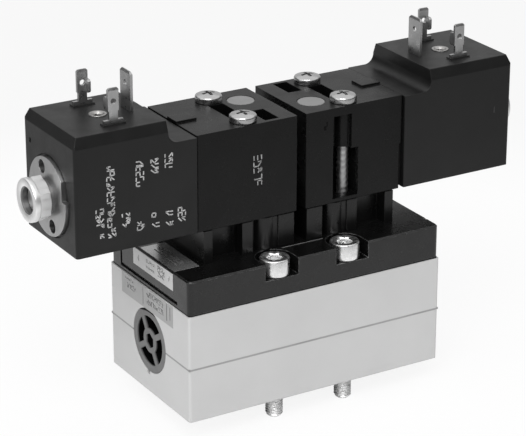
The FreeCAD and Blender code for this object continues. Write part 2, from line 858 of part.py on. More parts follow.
def make_plunger():
    """Moving core, resting on the nozzle, with a step that its spring pushes on."""
    radius = tube_radius - tube_wall - plunger_clearance
    front = plunger_front_x()
    step = front - plunger_nose_length
    body = rod_x(core_face_x() + plunger_travel, step, 0, armature_z, radius)
    nose = rod_x(step, front, 0, armature_z, plunger_nose_radius)
    socket = rod_x(front - plunger_seal_length, front, 0, armature_z, plunger_seal_radius)
    return joined([body, nose]).cut(socket)


def make_plunger_seal():
    front = plunger_front_x()
    return rod_x(front - plunger_seal_length, front, 0, armature_z, plunger_seal_radius)


def make_plunger_spring():
    """Spring round the plunger's nose, from its step to the chamber's floor."""
    start = plunger_front_x() - plunger_nose_length
    length = pilot_outer_x + tube_flange_thickness + chamber_depth - start
    return spring(Vector(start, 0, armature_z), Vector(1, 0, 0), length,
                  plunger_spring_radius, plunger_wire_radius, plunger_spring_turns)


def make_coil_seal():
    """Thin rubber sheet between the block and the coil."""
    half_y = coil_width / 2 - coil_seal_inset - (coil_width - pilot_width) / 2
    low = coil_bottom + coil_seal_inset
    high = coil_bottom + coil_shelf_height - coil_seal_inset
    sheet = block(coil_inner_x, pilot_outer_x, -half_y, half_y, low, high)
    return sheet.cut(rod_x(coil_inner_x, pilot_outer_x, 0, armature_z, tube_radius + tube_hole_clearance))


def coil_side_outline():
    """The coil seen from the front: low shelf beside the block, raised top with a sloping band."""
    shelf_z = coil_bottom + coil_shelf_height
    shelf_x = coil_inner_x - coil_shelf_length
    band_z = coil_top - coil_band_height
    crest_x = shelf_x - coil_fillet
    low = Vector(coil_inner_x, 0, coil_bottom)
    path = [low, Vector(coil_inner_x, 0, shelf_z), Vector(shelf_x, 0, shelf_z)]
    corner = math.sin(math.radians(45))
    middle = Vector(shelf_x - coil_fillet * corner, 0, shelf_z + coil_fillet * (1 - corner))
    crest = Vector(crest_x, 0, shelf_z + coil_fillet)
    rest = [crest, Vector(crest_x, 0, coil_top)]
    rest += [Vector(coil_outer_x + coil_band_inset, 0, coil_top), Vector(coil_outer_x, 0, band_z)]
    rest += [Vector(coil_outer_x, 0, coil_bottom), low]
    edges = [Part.makeLine(start, end) for start, end in zip(path, path[1:])]
    edges.append(Part.Arc(path[-1], middle, crest).toShape())
    edges += [Part.makeLine(start, end) for start, end in zip(rest, rest[1:])]
    return Part.Face(Part.Wire(edges))


def make_coil():
    half_y = coil_width / 2
    band_z = coil_top - coil_band_height
    side = coil_side_outline()
    side.translate(Vector(0, -half_y, 0))
    body = side.extrude(Vector(0, coil_width, 0))
    end_points = [Vector(coil_outer_x, -half_y, coil_bottom), Vector(coil_outer_x, -half_y, band_z)]
    end_points += [Vector(coil_outer_x, -half_y + coil_band_inset, coil_top)]
    end_points += [Vector(coil_outer_x, half_y - coil_band_inset, coil_top)]
    end_points += [Vector(coil_outer_x, half_y, band_z), Vector(coil_outer_x, half_y, coil_bottom)]
    body = body.common(outline_solid(end_points, Vector(coil_length, 0, 0)))
    outer_edges = []
    inner_edges = []
    for edge in body.Edges:
        box = edge.BoundBox
        upright = box.XLength < pick_slack and box.YLength < pick_slack
        if upright and box.XMax < coil_outer_x + pick_slack:
            outer_edges.append(edge)
        if upright and box.XMin > coil_inner_x - pick_slack:
            inner_edges.append(edge)
    body = body.makeFillet(coil_inner_round, inner_edges)
    body = body.makeFillet(coil_round, outer_edges)
    pads = []
    for side_y in (-1, 1):
        y = side_y * blade_spacing / 2
        pads.append(block(connector_x - pad_half_x, connector_x + pad_half_x, y - pad_half_y, y + pad_half_y,
                          coil_top - pad_height, coil_top + pad_height))
    body = joined([body] + pads)
    cuts = [rod_x(coil_outer_x, coil_inner_x, 0, armature_z, tube_radius + tube_hole_clearance)]
    cuts.append(rod_x(coil_outer_x, coil_outer_x + coil_end_recess_depth, 0, armature_z,
                      plate_radius + coil_end_recess_gap))
    cuts.append(rod_z(connector_x, 0, coil_top - insert_length, coil_top, insert_radius + part_clearance))
    cuts += blade_sockets()
    return body.cut(cuts)


def blade_sockets():
    """Slots in the coil that the terminals' roots sit in."""
    gap = part_clearance
    half_t = blade_thickness / 2 + gap
    half_w = blade_stem_width / 2 + gap
    slots = []
    for side_y in (-1, 1):
        y = side_y * blade_spacing / 2
        slots.append(block(connector_x - half_w, connector_x + half_w, y - half_t, y + half_t,
                           coil_top - blade_root, coil_top + pad_height))
    x = connector_x + earth_offset
    half_w = earth_width / 2 + gap
    slots.append(block(x - half_t, x + half_t, -half_w, half_w, coil_top - blade_root, coil_top))
    return slots


def strip_section(middle, z0, z1):
    """Corners of a terminal seen edge on: even thickness, bevelled towards its tip."""
    half = blade_thickness / 2
    half_tip = blade_tip_thickness / 2
    bevel_z = z1 - blade_bevel_height
    return [(middle - half, z0), (middle + half, z0), (middle + half, bevel_z), (middle + half_tip, z1),
            (middle - half_tip, z1), (middle - half, bevel_z)]


def make_line_blade(side_y):
    """One line terminal: stem, wider blade with bevelled tip and hole, foot, and a wing bent inwards."""
    y = side_y * blade_spacing / 2
    y0 = y - blade_thickness / 2
    root = coil_top - blade_root
    top = coil_top + blade_height
    wing_z0 = coil_top + blade_wing_lift
    wing_z1 = wing_z0 + blade_wing_height
    half = blade_width / 2
    half_stem = blade_stem_width / 2
    corner = blade_corner
    outline = [(-half_stem, root), (half_stem, root), (half_stem, wing_z0), (half, wing_z0)]
    outline += [(half, top - corner), (half - corner, top), (-half + corner, top), (-half, top - corner)]
    outline += [(-half, wing_z0), (-half_stem, wing_z0)]
    face = [Vector(connector_x + x, y0, z) for x, z in outline]
    front = outline_solid(face, Vector(0, blade_thickness, 0))
    section = [Vector(connector_x - half, edge_y, z) for edge_y, z in strip_section(y, root, top)]
    blade = front.common(outline_solid(section, Vector(blade_width, 0, 0)))
    half_foot = blade_foot_width / 2
    foot_z = coil_top + pad_height
    foot = block(connector_x - half_foot, connector_x + half_foot, y0, y0 + blade_thickness,
                 foot_z, foot_z + blade_foot_height)
    edge_x = connector_x + side_y * half
    wing_x0 = min(edge_x, edge_x - side_y * blade_thickness)
    cut = blade_wing_corner
    wing_outline = [(0, wing_z0), (blade_wing_width - cut, wing_z0), (blade_wing_width, wing_z0 + cut)]
    wing_outline += [(blade_wing_width, wing_z1 - cut), (blade_wing_width - cut, wing_z1), (0, wing_z1)]
    wing = outline_solid([Vector(wing_x0, y - side_y * reach, z) for reach, z in wing_outline],
                         Vector(blade_thickness, 0, 0))
    hole_base = Vector(connector_x, y0, top - blade_hole_drop)
    hole = Part.makeCylinder(blade_hole_radius, blade_thickness, hole_base, Vector(0, 1, 0))
    return joined([blade, foot, wing]).cut(hole)


def make_earth_blade():
    """Earth terminal: one wide blade across the body, its top corners cut and its tip bevelled."""
    x = connector_x + earth_offset
    x0 = x - blade_thickness / 2
    root = coil_top - blade_root
    top = coil_top + earth_height
    half = earth_width / 2
    corner = earth_corner
    outline = [(-half, root), (half, root), (half, top - corner), (half - corner, top)]
    outline += [(-half + corner, top), (-half, top - corner)]
    face = outline_solid([Vector(x0, y, z) for y, z in outline], Vector(blade_thickness, 0, 0))
    section = [Vector(edge_x, -half, z) for edge_x, z in strip_section(x, root, top)]
    blade = face.common(outline_solid(section, Vector(0, earth_width, 0)))
    hole_base = Vector(x0, 0, top - earth_hole_drop)
    return blade.cut(Part.makeCylinder(blade_hole_radius, blade_thickness, hole_base, Vector(1, 0, 0)))


def make_coil_insert():
    top = coil_top + insert_proud
    sleeve = rod_z(connector_x, 0, coil_top - insert_length, top, insert_radius)
    bore = rod_z(connector_x, 0, top - insert_bore_depth, top, insert_bore_radius)
    rim_radius = insert_bore_radius + insert_countersink
    countersink = Part.makeCone(insert_bore_radius, rim_radius, insert_countersink,
                                Vector(connector_x, 0, top - insert_countersink), Vector(0, 0, 1))
    return sleeve.cut([bore, countersink])


def make_coil_plate():
    """Bright plate behind the nut: two round lobes with a step between them, and two spanner holes."""
    x1 = coil_outer_x + coil_end_recess_depth
    x0 = x1 - plate_thickness - coil_end_recess_depth
    disc = rod_x(x0, x1, 0, armature_z, plate_radius)
    cuts = [rod_x(x0, x1, 0, armature_z, tube_radius + tube_hole_clearance)]
    for sign in (-1, 1):
        y0, y1 = sorted((-sign * plate_step_y, -sign * (plate_radius + 1)))
        z0, z1 = sorted((armature_z + sign * plate_step_z, armature_z + sign * (plate_radius + 1)))
        cuts.append(block(x0, x1, y0, y1, z0, z1))
    for turn in (0, 180):
        angle = math.radians(plate_hole_angle + turn)
        y = -plate_hole_circle * math.cos(angle)
        z = armature_z + plate_hole_circle * math.sin(angle)
        cuts.append(rod_x(x0, x1, y, z, plate_hole_radius))
    return disc.cut(cuts)


def make_coil_nut():
    """Hexagon nut with a flange behind and a turned nose in front."""
    flange_x1 = coil_outer_x - plate_thickness
    flange_x0 = flange_x1 - nut_flange_thickness
    hex_x0 = flange_x0 - nut_hex_length
    nose_x0 = hex_x0 - nut_nose_length
    flange = rod_x(flange_x0, flange_x1, 0, armature_z, nut_flange_radius)
    body = hexagon(nut_flats, nut_hex_length, Vector(hex_x0, 0, armature_z), Vector(1, 0, 0))
    nose = rod_x(nose_x0, hex_x0, 0, armature_z, nut_nose_radius)
    front = [edge for edge in nose.Edges if edge.BoundBox.XMax < nose_x0 + pick_slack]
    nose = nose.makeFillet(nut_nose_round, front)
    bore = rod_x(nose_x0, flange_x1, 0, armature_z, stud_radius + nut_thread_clearance)
    return joined([flange, body, nose]).cut(bore)


write("lower_housing", make_lower_housing())
write("upper_housing", make_upper_housing())
write("housing_gasket", make_flat_gasket(lower_height, True))
write("top_cover", make_top_cover())
write("cover_gasket", make_flat_gasket(upper_top, False))
write("port_gasket", make_port_gasket())
write("mounting_screws", make_mounting_screws())
write("body_screws", make_body_screws())
write("spool_sleeve", make_spool_sleeve())
write("sleeve_seals", make_sleeve_seals())
write("main_spool", make_main_spool())
write("piston_left", make_piston(-1))
write("piston_right", make_piston(1))
write("piston_seals", Part.makeCompound([make_piston_seal(-1), make_piston_seal(1)]))
vent_cap = make_vent_cap()
write("vent_cap_left", vent_cap)
write("vent_cap_right", half_turned(vent_cap))
write("pilot_adapter", make_pilot_adapter())
write("adapter_seals", make_adapter_seals())
write("adapter_screws", make_adapter_screws())

line_blades = Part.makeCompound([make_line_blade(-1), make_line_blade(1)])
pilot_pieces = [
    ("pilot_block", make_pilot_block()),
    ("pilot_gasket", make_pilot_gasket()),
    ("pilot_screws", make_pilot_screws()),
    ("override_button", make_override_button()),
    ("override_spring", make_override_spring()),
    ("nozzle", make_nozzle()),
    ("armature_tube", make_armature_tube()),
    ("plunger", make_plunger()),
    ("plunger_seal", make_plunger_seal()),
    ("plunger_spring", make_plunger_spring()),
    ("coil_seal", make_coil_seal()),
    ("coil", make_coil()),
    ("line_blades", line_blades),
    ("earth_blade", make_earth_blade()),
    ("coil_insert", make_coil_insert()),
    ("coil_plate", make_coil_plate()),
    ("coil_nut", make_coil_nut()),
]
for name, shape in pilot_pieces:
    write(name + "_left", shape)
    write(name + "_right", half_turned(shape))
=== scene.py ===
import json
import math
import random

import bpy
from mathutils import Matrix, Vector


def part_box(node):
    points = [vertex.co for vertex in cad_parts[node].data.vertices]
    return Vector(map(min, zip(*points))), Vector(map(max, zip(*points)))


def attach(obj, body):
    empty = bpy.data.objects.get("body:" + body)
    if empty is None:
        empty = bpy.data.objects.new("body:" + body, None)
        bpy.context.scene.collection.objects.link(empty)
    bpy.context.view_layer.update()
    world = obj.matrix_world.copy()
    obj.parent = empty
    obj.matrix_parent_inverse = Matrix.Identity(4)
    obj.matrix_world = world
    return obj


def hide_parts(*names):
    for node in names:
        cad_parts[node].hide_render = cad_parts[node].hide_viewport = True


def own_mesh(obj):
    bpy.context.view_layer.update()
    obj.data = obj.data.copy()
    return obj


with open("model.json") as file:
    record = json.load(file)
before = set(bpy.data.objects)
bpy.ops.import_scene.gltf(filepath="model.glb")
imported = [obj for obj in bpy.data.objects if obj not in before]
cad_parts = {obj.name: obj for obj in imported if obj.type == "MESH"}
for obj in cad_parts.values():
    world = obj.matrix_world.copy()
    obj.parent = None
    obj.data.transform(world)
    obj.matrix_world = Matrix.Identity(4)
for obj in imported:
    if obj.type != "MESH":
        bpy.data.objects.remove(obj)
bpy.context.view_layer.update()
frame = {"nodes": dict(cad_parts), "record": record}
record = frame["record"]
MM = 0.001

# Walls and levels of the CAD model that the added pieces sit on, in millimetres
FLOOR_Z = -6.7
NOTCH_FLOOR = 36.9
COVER_TOP = 41.8
COVER_END = -40.9
HOUSING_END = -41.2
BORE_RADIUS = 9.5
JOINT_Z = sum(corner[2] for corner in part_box("housing_gasket")) / 2 / MM
ADAPTER_TOP = COVER_TOP + 9.6
PILOT_TOP = 79.8
PILOT_FRONT = -13.9
COIL_FRONT = -15.0
COIL_END = -70.2
ARMATURE_Z = 65.4

# A turned form starts and ends at this radius, so that no face shrinks to nothing on the axis
AXIS = 0.01


# Node materials


class Graph:
    """Adds and links the nodes of one node tree."""

    def __init__(self, tree):
        self.nodes = tree.nodes
        self.links = tree.links

    def add(self, kind, **values):
        """A new node, with inputs or properties set by their names."""
        node = self.nodes.new(kind)
        for key, value in values.items():
            if key in node.inputs:
                node.inputs[key].default_value = value
            else:
                setattr(node, key, value)
        return node

    def link(self, source, target):
        """Feeds an input from another node's output, or sets it to a fixed value."""
        if isinstance(source, bpy.types.NodeSocket):
            self.links.new(source, target)
        else:
            target.default_value = source

    def ranged(self, source, low, high, to_low=0.0, to_high=1.0, smooth=False):
        """A value carried from one range to another and kept inside it."""
        node = self.add("ShaderNodeMapRange", interpolation_type="SMOOTHSTEP" if smooth else "LINEAR")
        for key, value in zip(("From Min", "From Max", "To Min", "To Max"), (low, high, to_low, to_high)):
            node.inputs[key].default_value = value
        self.link(source, node.inputs["Value"])
        return node.outputs["Result"]

    def maths(self, operation, *values):
        """One step of arithmetic on links or numbers."""
        node = self.add("ShaderNodeMath", operation=operation)
        for value, socket in zip(values, node.inputs):
            self.link(value, socket)
        return node.outputs[0]

    def vector(self, operation, *values):
        """A node with one step of vector arithmetic."""
        node = self.add("ShaderNodeVectorMath", operation=operation)
        for value, socket in zip(values, node.inputs):
            self.link(value, socket)
        return node

    def blended(self, factor, first, second):
        """A colour between two, each a link or a fixed colour."""
        node = self.add("ShaderNodeMix", data_type="RGBA")
        for value, socket in ((factor, node.inputs["Factor"]), (first, node.inputs[6]), (second, node.inputs[7])):
            self.link(value, socket)
        return node.outputs[2]

    def mixed(self, factor, first, second):
        """A mix of two shaders."""
        node = self.add("ShaderNodeMixShader")
        for value, socket in zip((factor, first, second), node.inputs):
            self.link(value, socket)
        return node.outputs[0]


class Surface(Graph):
    """The nodes of a new material, with its shader and the object's coordinates."""

    def __init__(self, name):
        self.material = bpy.data.materials.new(name)
        self.material.use_nodes = True
        super().__init__(self.material.node_tree)
        self.shader = self.nodes["Principled BSDF"]
        self.place = self.add("ShaderNodeTexCoord").outputs["Object"]

    def stretched(self, scale):
        """The object's coordinates, scaled along each axis."""
        node = self.add("ShaderNodeMapping", Scale=scale)
        self.link(self.place, node.inputs["Vector"])
        return node.outputs["Vector"]

    def noise(self, scale, detail=3.0, rough=0.55, vector=None):
        node = self.add("ShaderNodeTexNoise", Scale=scale, Detail=detail, Roughness=rough)
        self.link(vector or self.place, node.inputs["Vector"])
        return node.outputs["Fac"]


def grey(level, warm=0.0):
    return (level * (1 + warm), level, level * (1 - warm), 1.0)


# The values between which most of a noise lies
NOISE_LOW, NOISE_HIGH = 0.3, 0.7


def surface(name, level, rough, metallic=0.0, specular=0.5, warm=0.0, mottle=120.0, vary=0.12, rough_vary=0.06,
            grain=2500.0, depth=0.02, edge=0.25, wear_and_highlight=0.0, wear_and_highlight_level=0.2, stretch=None):
    """A procedural surface: mottled colour, lighter edges that are partly wear and partly a painted highlight,
    varied gloss and a fine grain in relief.

    level is the colour's share of white, varied by vary in patches of the noise scale mottle. grain is
    the relief's noise scale and depth its height in millimetres. edge is the radius in millimetres over
    which an edge is softened; the first wear value is the share of it that shows the second, a lighter
    rim colour that stands for wear and also paints a highlight along the edge.
    """
    g = Surface(name)
    inputs = g.shader.inputs
    inputs["Metallic"].default_value = metallic
    inputs["Specular IOR Level"].default_value = specular
    patches = g.ranged(g.noise(mottle, detail=4.0), NOISE_LOW, NOISE_HIGH)
    color = g.blended(patches, grey(level * (1 - vary), warm), grey(level * (1 + vary), warm))
    rounded = g.add("ShaderNodeBevel", samples=4, Radius=edge * MM).outputs["Normal"]
    # The lighter rim at edges is partly wear and partly a painted highlight along each edge
    if wear_and_highlight:
        # At an edge the softened normal leans away from the face's own
        facing = g.vector("DOT_PRODUCT", rounded, g.add("ShaderNodeNewGeometry").outputs["Normal"])
        rim = g.ranged(facing.outputs["Value"], 0.995, 0.8, 0.0, wear_and_highlight)
        broken = g.ranged(g.noise(900.0, detail=5.0, rough=0.7), 0.42, 0.62, 0.15, 1.0)
        color = g.blended(g.maths("MULTIPLY", rim, broken), color, grey(wear_and_highlight_level, warm))
    g.link(color, inputs["Base Color"])
    smears = g.noise(mottle * 2.3, rough=0.6)
    g.link(g.ranged(smears, NOISE_LOW, NOISE_HIGH, rough - rough_vary, rough + rough_vary), inputs["Roughness"])
    fine = g.noise(grain, detail=4.0, rough=0.6, vector=g.stretched(stretch) if stretch else None)
    bump = g.add("ShaderNodeBump", Strength=1.0, Distance=depth * MM)
    g.link(fine, bump.inputs["Height"])
    g.link(rounded, bump.inputs["Normal"])
    g.link(bump.outputs["Normal"], inputs["Normal"])
    return g.material


# Finishes of the material slots, of pieces that differ from their slot, of labels and prints, and of pieces that
# paint shade, shadow and highlights
FINISHES = {
    "cast_aluminium": dict(
        level=0.52, rough=0.62, specular=0.4, mottle=45.0, vary=0.03, grain=2600.0, depth=0.012, edge=0.35,
        wear_and_highlight=0.5, wear_and_highlight_level=0.62
    ),
    "turned_aluminium": dict(
        level=0.62, rough=0.32, metallic=1.0, mottle=200.0, vary=0.05, grain=900.0, depth=0.006,
        stretch=(6.0, 1.0, 1.0)
    ),
    # The cover's light rim along its edges is partly wear and mostly a painted highlight of the edges
    "cover_plastic": dict(
        level=0.0035, rough=0.28, specular=0.46, mottle=90.0, vary=0.2, grain=3200.0, depth=0.006, edge=0.35,
        wear_and_highlight=0.6, wear_and_highlight_level=0.32
    ),
    "adapter_plastic": dict(
        level=0.0025, rough=0.29, specular=0.38, mottle=90.0, vary=0.2, rough_vary=0.03, grain=3000.0,
        depth=0.004, wear_and_highlight=0.25, wear_and_highlight_level=0.04
    ),
    "block_plastic": dict(
        level=0.0035, rough=0.28, specular=0.19, mottle=80.0, vary=0.2, grain=3000.0, depth=0.007, edge=0.3,
        wear_and_highlight=0.25, wear_and_highlight_level=0.035
    ),
    "coil_plastic": dict(
        level=0.0045, rough=0.41, specular=0.33, mottle=70.0, vary=0.2, grain=2800.0, depth=0.009, edge=0.4,
        wear_and_highlight=0.3, wear_and_highlight_level=0.045
    ),
    "cap_plastic": dict(
        level=0.12, rough=0.42, specular=0.45, mottle=200.0, grain=3000.0, depth=0.01, edge=0.2, wear_and_highlight=0.2
    ),
    "piston_plastic": dict(
        level=0.006, rough=0.4, specular=0.3, mottle=200.0, vary=0.15, grain=2000.0, depth=0.008
    ),
    "button_plastic": dict(
        level=0.21, rough=0.34, mottle=260.0, vary=0.06, depth=0.005, edge=0.15, wear_and_highlight=0.2, wear_and_highlight_level=0.3
    ),
    "seal_rubber": dict(
        level=0.006, rough=0.7, specular=0.2, mottle=150.0, vary=0.2, grain=2200.0, depth=0.015, edge=0.15
    ),
    "joint_rubber": dict(
        level=0.09, rough=0.7, specular=0.2, mottle=60.0, vary=0.35, grain=2200.0, depth=0.01, edge=0.1
    ),
    "plated_steel": dict(
        level=0.78, rough=0.26, metallic=1.0, mottle=260.0, vary=0.06, rough_vary=0.05, grain=1400.0,
        depth=0.004, edge=0.2, wear_and_highlight=0.3, wear_and_highlight_level=0.85
    ),
    "pan_steel": dict(
        level=0.5, rough=0.24, metallic=1.0, mottle=260.0, vary=0.06, rough_vary=0.05, grain=1400.0,
        depth=0.004, edge=0.15, wear_and_highlight=0.3, wear_and_highlight_level=0.8
    ),
    "nut_steel": dict(
        level=0.8, rough=0.36, metallic=0.86, mottle=180.0, vary=0.06, rough_vary=0.05, grain=1500.0,
        depth=0.004, edge=0.2, wear_and_highlight=0.25, wear_and_highlight_level=0.8
    ),
    "thread_steel": dict(level=0.42, rough=0.42, metallic=1.0, mottle=260.0, vary=0.1, depth=0.004),
    "hexagon_steel": dict(
        level=0.75, rough=0.42, metallic=0.68, mottle=180.0, vary=0.06, rough_vary=0.05, grain=1500.0,
        depth=0.004, edge=0.1, wear_and_highlight=0.25, wear_and_highlight_level=0.8
    ),
    "bore_steel": dict(level=0.22, rough=0.5, metallic=1.0, mottle=180.0, vary=0.1, depth=0.004),
    "screw_steel": dict(
        level=0.88, rough=0.32, metallic=1.0, mottle=420.0, vary=0.08, rough_vary=0.14, grain=1400.0,
        depth=0.004, edge=0.2, wear_and_highlight=0.3, wear_and_highlight_level=0.85
    ),
    "plate_steel": dict(
        level=0.41, rough=0.36, metallic=1.0, mottle=200.0, vary=0.08, grain=1600.0, depth=0.004, wear_and_highlight=0.3,
        wear_and_highlight_level=0.8
    ),
    "turned_steel": dict(
        level=0.6, rough=0.3, metallic=1.0, mottle=240.0, vary=0.06, grain=1000.0, depth=0.006,
        stretch=(8.0, 1.0, 1.0)
    ),
    "spring_steel": dict(level=0.5, rough=0.35, metallic=1.0, mottle=300.0, vary=0.08, depth=0.006),
    "nozzle_brass": dict(level=0.5, rough=0.3, metallic=1.0, warm=0.25, mottle=260.0, vary=0.08, depth=0.006),
    "insert_brass": dict(level=0.42, rough=0.3, metallic=1.0, warm=0.02, mottle=260.0, vary=0.08, depth=0.004),
    "terminal_metal": dict(
        level=0.46, rough=0.32, metallic=1.0, mottle=220.0, vary=0.1, rough_vary=0.08, grain=1200.0,
        depth=0.006, edge=0.12, stretch=(1.0, 1.0, 0.25), wear_and_highlight=0.3, wear_and_highlight_level=0.65
    ),
    # Painted shade along the soft edges of the housing joint
    "joint_edge_painted_shade": dict(level=0.3, rough=0.65, specular=0.3, mottle=60.0, grain=2200.0, depth=0.006, edge=0.1),
    "label_white": dict(level=0.5, rough=0.45, mottle=140.0, vary=0.05, grain=1500.0, depth=0.004, edge=0.1),
    "label_grey": dict(level=0.33, rough=0.5, vary=0.05, grain=1500.0, depth=0.004, edge=0.1),
    "label_silver": dict(level=0.52, rough=0.24, metallic=0.8, vary=0.1, grain=1300.0, depth=0.006, edge=0.1),
    # Marks on labels; the same finish paints the highlight along the adapter's foot
    "label_mark_and_highlight": dict(level=0.19, rough=0.55, mottle=300.0, vary=0.25, grain=1500.0, depth=0.004),
    "print_ink": dict(level=0.44, rough=0.6, mottle=500.0, vary=0.3, depth=0.004),
    "print_dim": dict(level=0.035, rough=0.5, specular=0.3, mottle=500.0, vary=0.3, depth=0.004),
    "print_faint": dict(level=0.3, rough=0.6, mottle=500.0, vary=0.4, depth=0.004),
    # Dark print; the same finish paints the bore edge's shadow over the left cap
    "print_and_shadow_dark": dict(level=0.002, rough=0.6, specular=0.1, mottle=500.0, vary=0.3, depth=0.004),
}

MATERIALS = {name: surface(name, **finish) for name, finish in FINISHES.items()}


def darken_depths(material, outer_x, depth):
    """Darkens a cap's walls from a little behind its outer face, where no light comes."""
    g = Graph(material.node_tree)
    inputs = g.nodes["Principled BSDF"].inputs
    parts = g.add("ShaderNodeSeparateXYZ")
    g.link(g.nodes["Texture Coordinate"].outputs["Object"], parts.inputs[0])
    level = g.ranged(g.maths("ABSOLUTE", parts.outputs["X"]), outer_x - depth * 2, outer_x - depth, 0.03)
    shaded = g.vector("SCALE", inputs["Base Color"].links[0].from_socket)
    g.link(level, shaded.inputs["Scale"])
    g.link(shaded.outputs["Vector"], inputs["Base Color"])
    g.link(g.maths("MULTIPLY", level, 0.45), inputs["Specular IOR Level"])


darken_depths(MATERIALS["cap_plastic"], -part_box("vent_cap_left")[0][0], 0.25 * MM)

# Nodes whose finish differs a little from the rest of their slot
OWN_FINISH = {"pilot_adapter": "adapter_plastic", "housing_gasket": "joint_rubber"}

for entry in record["subparts"]:
    node = frame["nodes"][entry["node"]]
    node.data.materials.clear()
    node.data.materials.append(MATERIALS[OWN_FINISH.get(entry["node"], entry["material_slot"])])


# Mesh helpers


class Shape:
    """Points in millimetres and faces, gathered for one piece."""

    def __init__(self):
        self.points = []
        self.faces = []

    def add(self, points, faces):
        start = len(self.points)
        self.points += [tuple(p) for p in points]
        self.faces += [tuple(i + start for i in face) for face in faces]

    def lathe(self, centre, rows, segments, closed=True):
        """Rows about an upright axis: radius or function of the angle, height or function of the radius."""
        cx, cy = centre
        points = []
        for radius, z in rows:
            for k in range(segments):
                angle = 2 * math.pi * k / segments
                r = radius(angle) if callable(radius) else radius
                height = z(r) if callable(z) else z
                points.append((cx + r * math.cos(angle), cy + r * math.sin(angle), height))
        faces = []
        for row in range(len(rows) - 1):
            for k in range(segments):
                a = row * segments + k
                b = row * segments + (k + 1) % segments
                faces.append((a, b, b + segments, a + segments))
        if closed:
            faces.append(tuple(reversed(range(segments))))
            last = (len(rows) - 1) * segments
            faces.append(tuple(range(last, last + segments)))
        self.add(points, faces)

    def thread(self, centre, z0, z1, major, minor, pitch, bevel, segments=36):
        """A screw thread between two heights, pointed at its lower end by the bevel."""
        cx, cy = centre
        # Radius, and place along one turn as a share of the pitch
        profile = ((minor, 0.0), (major, 0.40), (major, 0.55), (minor, 0.95))
        width = len(profile)
        turns = int((z1 - z0) / pitch) + 3
        steps = turns * segments
        points = []
        for i in range(steps + 1):
            angle = 2 * math.pi * i / segments
            base = z0 - pitch * 1.5 + pitch * i / segments
            for radius, share in profile:
                z = min(max(base + share * pitch, z0), z1)
                r = min(radius, major - bevel + (z - z0))
                points.append((cx + r * math.cos(angle), cy + r * math.sin(angle), z))
        faces = []
        for i in range(steps):
            for j in range(width - 1):
                a = i * width + j
                faces.append((a, a + width, a + width + 1, a + 1))
            far = (i + segments) * width
            if i + 1 + segments <= steps:
                a = i * width + width - 1
                faces.append((a, a + width, far + width, far))
        self.add(points, faces)
        tip = major - bevel
        angles = [2 * math.pi * k / segments for k in range(segments)]
        ring = [(cx + tip * math.cos(angle), cy + tip * math.sin(angle), z0) for angle in angles]
        self.add(ring, [tuple(reversed(range(segments)))])

    def box(self, low, high):
        (x0, y0, z0), (x1, y1, z1) = low, high
        points = [(x, y, z) for x in (x0, x1) for y in (y0, y1) for z in (z0, z1)]
        faces = [(0, 1, 3, 2), (4, 6, 7, 5), (0, 4, 5, 1), (2, 3, 7, 6), (0, 2, 6, 4), (1, 5, 7, 3)]
        self.add(points, faces)

    def stroke(self, wall, start, end, width, lift=0.03):
        """A thin straight bar on a wall between two places."""
        along = Vector(end) - Vector(start)
        side = Vector((-along.y, along.x)).normalized() * width / 2
        corners = [Vector(start) - side, Vector(start) + side, Vector(end) + side, Vector(end) - side]
        points = [wall(c.x, c.y, height) for height in (0.0, lift) for c in corners]
        faces = [(0, 1, 2, 3), (7, 6, 5, 4)] + [(k + 4, (k + 1) % 4 + 4, (k + 1) % 4, k) for k in range(4)]
        self.add(points, faces)

    def done(self, name, material, body, smooth_angle=35.0):
        """Makes the mesh piece, which rides on a body."""
        mesh = bpy.data.meshes.new(name)
        mesh.from_pydata([Vector(p) * MM for p in self.points], [], self.faces)
        mesh.validate()
        mesh.update()
        obj = bpy.data.objects.new(name, mesh)
        bpy.context.scene.collection.objects.link(obj)
        mesh.materials.append(MATERIALS[material])
        mesh.set_sharp_from_angle(angle=math.radians(smooth_angle))
        for polygon in mesh.polygons:
            polygon.use_smooth = True
        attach(obj, body)
        return obj


def hexagon_radius(flats, turn=0.0):
    """Outline of a hexagon, turned by some degrees."""
    def radius(angle):
        part = (angle + math.radians(turn) + math.pi / 6) % (math.pi / 3) - math.pi / 6
        return flats / 2 / math.cos(part)
    return radius


def cross_radius(reach, half_width):
    """Outline of a cross recess."""
    def radius(angle):
        across = [half_width / max(abs(part), 0.001) for part in (math.sin(angle), math.cos(angle))]
        return max(min(reach, value) for value in across)
    return radius


# Mounting screws: cap heads with a hexagon socket, captive shanks and threaded ends


def mounting_screws():
    head_radius, head_height = 4.25, 5.0
    shank_radius = 2.2
    socket, socket_depth = hexagon_radius(4.0), 2.6
    top = NOTCH_FLOOR + head_height
    rows = [(AXIS, 0.0), (shank_radius, 0.0), (shank_radius, NOTCH_FLOOR), (head_radius - 0.25, NOTCH_FLOOR),
            (head_radius, NOTCH_FLOOR + 0.25), (head_radius, top - 0.5), (head_radius - 0.1, top - 0.2),
            (head_radius - 0.35, top - 0.02), (head_radius - 0.55, top), (2.75, top),
            (hexagon_radius(4.3), top - 0.25), (socket, top - 0.5), (socket, top - socket_depth),
            (AXIS, top - socket_depth - 0.4)]
    shape = Shape()
    for x in (-11.5, 11.5):
        for y in (-18.5, 18.5):
            shape.lathe((x, y), rows, segments=60)
            shape.thread((x, y), FLOOR_Z, 0.0, major=2.5, minor=2.08, pitch=0.8, bevel=0.7)
    obj = shape.done("mounting_screws_detailed", "screw_steel", "body")
    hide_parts("mounting_screws")


# Pilot screws: raised pan heads with a cross recess, and a coarse thread that shows in the block's window


